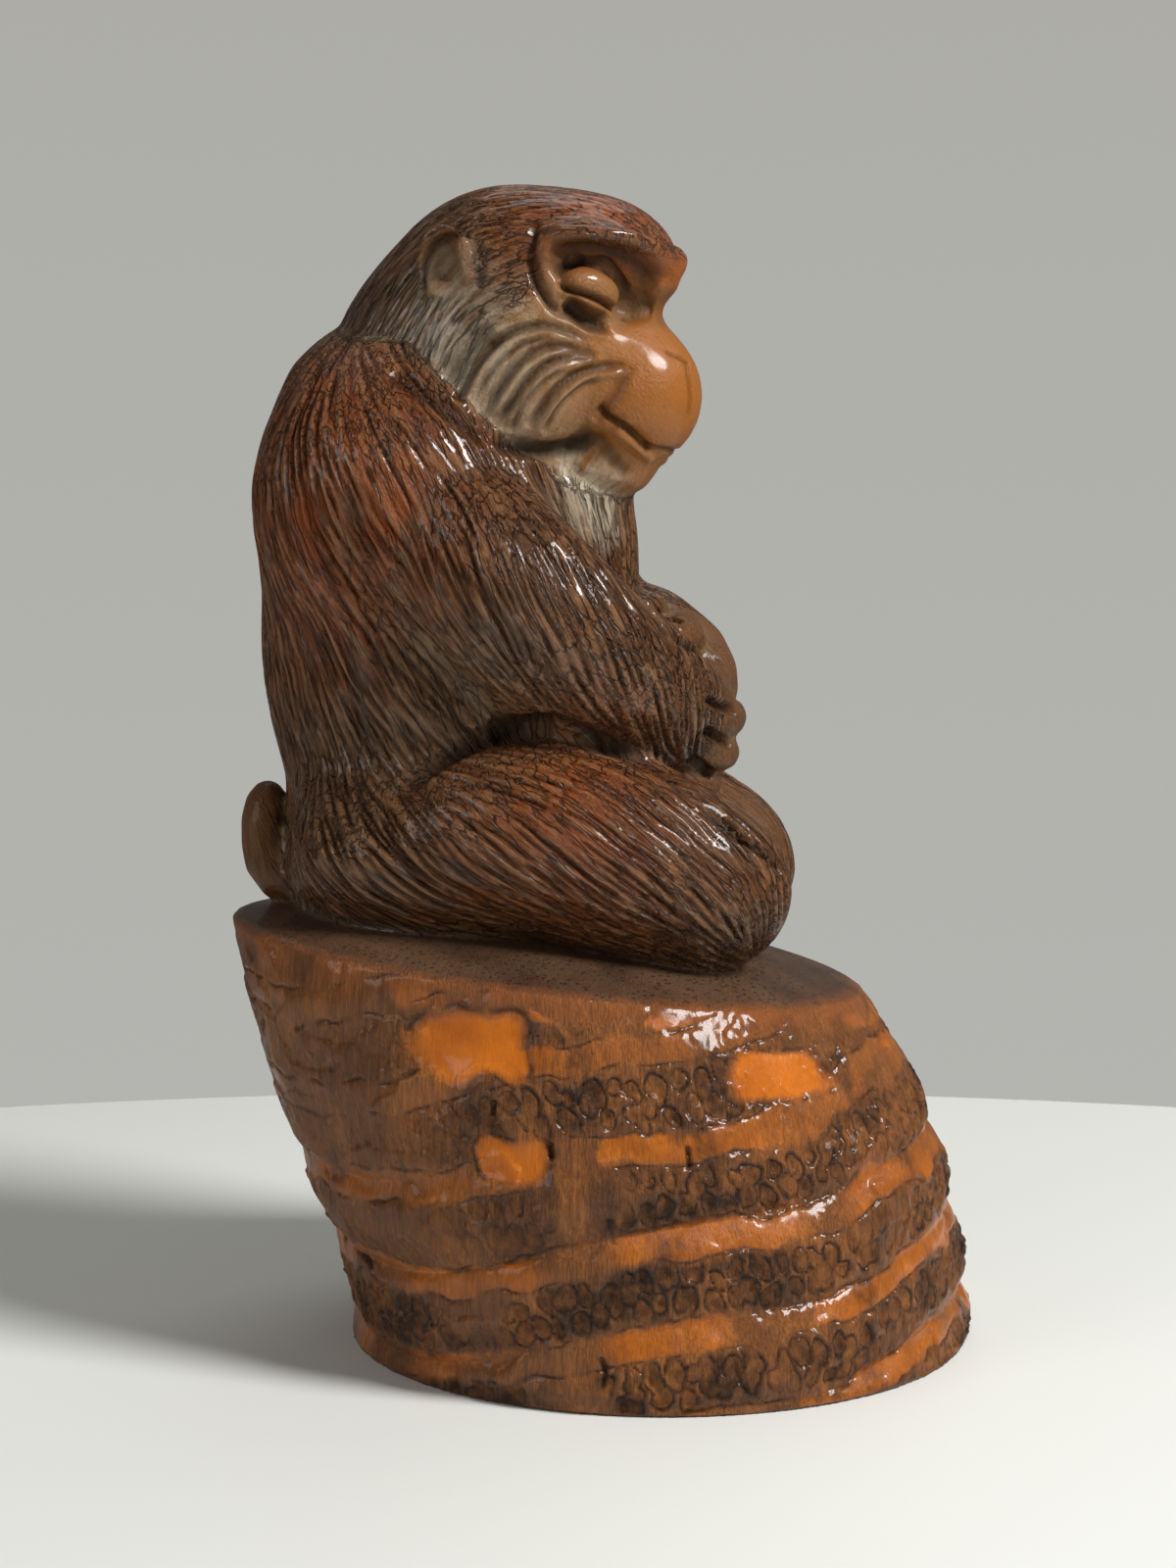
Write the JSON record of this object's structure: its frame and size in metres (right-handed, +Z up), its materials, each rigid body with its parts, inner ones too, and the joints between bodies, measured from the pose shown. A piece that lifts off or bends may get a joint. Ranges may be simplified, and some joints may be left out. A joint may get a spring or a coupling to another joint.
{
  "type": "carved monkey sculpture",
  "caption": "Carved wooden monkey with folded arms and lowered head, seated cross-legged on a leaning, ringed root stub with a sloping top",
  "frame": {"origin": "middle of the bounding box at the flat foot of the root", "axes": "+Z up, -Y the way the monkey's body faces, +X the monkey's left"},
  "size_m": [0.1198, 0.149, 0.2279],
  "materials": {
    "carved_wood": "dark brown stained and rubbed carving over an orange-brown ringed root, satin to gloss"
  },
  "bodies": {
    "root": {"monkey_on_root": "carved_wood"}
  },
  "joints": []
}
